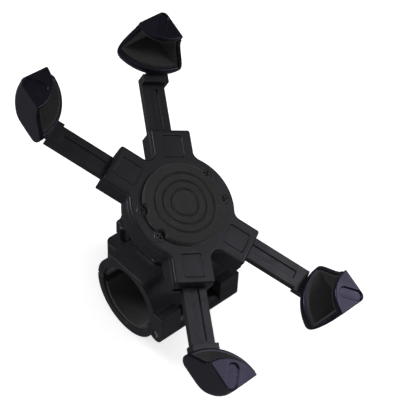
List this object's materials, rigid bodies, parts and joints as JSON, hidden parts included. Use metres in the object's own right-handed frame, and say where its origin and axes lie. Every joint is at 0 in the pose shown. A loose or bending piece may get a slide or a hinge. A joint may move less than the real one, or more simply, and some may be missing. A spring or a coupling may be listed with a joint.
{
  "type": "phone mount",
  "caption": "Handlebar phone mount: corner claws on geared sliding arms grip a phone; a ball joint with a lock ring carries the hub on a hinged clamp.",
  "frame": {"origin": "middle of the clamp's bore, on the handlebar's axis", "axes": "+X along the handlebar, +Y towards the top end of the phone, +Z out of the phone's screen"},
  "size_m": [0.0852, 0.1648, 0.0964],
  "materials": {
    "claw_plastic": "satin, faintly textured",
    "arm_plastic": "fine texture",
    "hub_plastic": "fine texture",
    "clamp_plastic": "fine texture",
    "knob_plastic": "fine texture",
    "ring_plastic": "fine texture",
    "liner_rubber": "matt",
    "pad_rubber": "matt",
    "lining_rubber": "matt",
    "bright_steel": "zinc plated",
    "spring_steel": "blued",
    "dark_metal": "black oxide",
    "black_screw": "black zinc",
    "slip_plastic": "natural acetal"
  },
  "bodies": {
    "clamp": {"saddle": "clamp_plastic", "saddle_liner": "liner_rubber", "hinge_pin": "bright_steel", "screw_washer": "bright_steel", "ball_stud": "dark_metal", "stud_screws": "black_screw"},
    "jaw": {"jaw": "clamp_plastic", "jaw_liner": "liner_rubber"},
    "barrel": {"barrel_nut": "bright_steel"},
    "screw": {"clamp_screw": "bright_steel", "screw_knob": "knob_plastic"},
    "slip": {"slip_liner": "slip_plastic"},
    "cup": {"socket_cup": "slip_plastic"},
    "hub": {"rear_housing": "hub_plastic", "front_cover": "hub_plastic", "rest_pad": "pad_rubber", "cover_screws": "black_screw", "pinion_pin": "bright_steel", "return_spring": "spring_steel"},
    "ring": {"lock_ring": "ring_plastic"},
    "pinion": {"pinion": "slip_plastic"},
    "claw_arm_tr": {"arm_tr": "arm_plastic", "claw_tr": "claw_plastic", "lining_tr": "lining_rubber", "claw_screw_tr": "black_screw"},
    "claw_arm_tl": {"arm_tl": "arm_plastic", "claw_tl": "claw_plastic", "lining_tl": "lining_rubber", "claw_screw_tl": "black_screw"},
    "claw_arm_bl": {"arm_bl": "arm_plastic", "claw_bl": "claw_plastic", "lining_bl": "lining_rubber", "claw_screw_bl": "black_screw"},
    "claw_arm_br": {"arm_br": "arm_plastic", "claw_br": "claw_plastic", "lining_br": "lining_rubber", "claw_screw_br": "black_screw"}
  },
  "joints": [
    {"name": "tilt_x", "type": "hinge", "parent": "clamp", "child": "slip", "pos_m": [0, 0.0177, 0.03066], "axis": [1, 0, 0], "range_deg": [-66, 6]},
    {"name": "tilt_y", "type": "hinge", "parent": "slip", "child": "cup", "pos_m": [0, 0.0177, 0.03066], "axis": [0, 1, 0], "range_deg": [-15, 15]},
    {"name": "swivel", "type": "hinge", "parent": "cup", "child": "hub", "pos_m": [0, 0.0177, 0.03066], "axis": [0, 0, 1], "continuous": true},
    {"name": "ring_turn", "type": "hinge", "parent": "hub", "child": "ring", "pos_m": [0, 0.0177, 0.03066], "axis": [0, 0, 1], "range_deg": [-360, 0]},
    {"name": "pinion_spin", "type": "hinge", "parent": "hub", "child": "pinion", "pos_m": [0, 0.0177, 0.03066], "axis": [0, 0, 1], "range_deg": [-72, 311]},
    {"name": "slide_tr", "type": "slide", "parent": "hub", "child": "claw_arm_tr", "axis": [0.4592, 0.8883, 0], "range_m": [-0.026, 0.006]},
    {"name": "slide_tl", "type": "slide", "parent": "hub", "child": "claw_arm_tl", "axis": [-0.4592, 0.8883, 0], "range_m": [-0.026, 0.006]},
    {"name": "slide_bl", "type": "slide", "parent": "hub", "child": "claw_arm_bl", "axis": [-0.4592, -0.8883, 0], "range_m": [-0.026, 0.006]},
    {"name": "slide_br", "type": "slide", "parent": "hub", "child": "claw_arm_br", "axis": [0.4592, -0.8883, 0], "range_m": [-0.026, 0.006]},
    {"name": "screw_turn", "type": "hinge", "parent": "clamp", "child": "screw", "pos_m": [0, 0.02252, -0.013], "axis": [0, 0.5, 0.866], "range_deg": [0, 2970]},
    {"name": "jaw_hinge", "type": "hinge", "parent": "clamp", "child": "jaw", "pos_m": [0, -0.02271, 0.00467], "axis": [-1, 0, 0], "range_deg": [0, 7.9]},
    {"name": "barrel_turn", "type": "hinge", "parent": "jaw", "child": "barrel", "pos_m": [0, 0.02052, -0.01646], "axis": [-1, 0, 0], "range_deg": [-7.9, 0]}
  ],
  "couplings": [
    {"joint": "slide_tl", "follows": "slide_tr", "ratio": 1},
    {"joint": "slide_bl", "follows": "slide_tr", "ratio": 1},
    {"joint": "slide_br", "follows": "slide_tr", "ratio": 1},
    {"joint": "pinion_spin", "follows": "slide_tr", "rad_per_m": -208.33},
    {"joint": "jaw_hinge", "follows": "screw_turn", "ratio": 0.0026598},
    {"joint": "barrel_turn", "follows": "screw_turn", "ratio": -0.0026598}
  ]
}
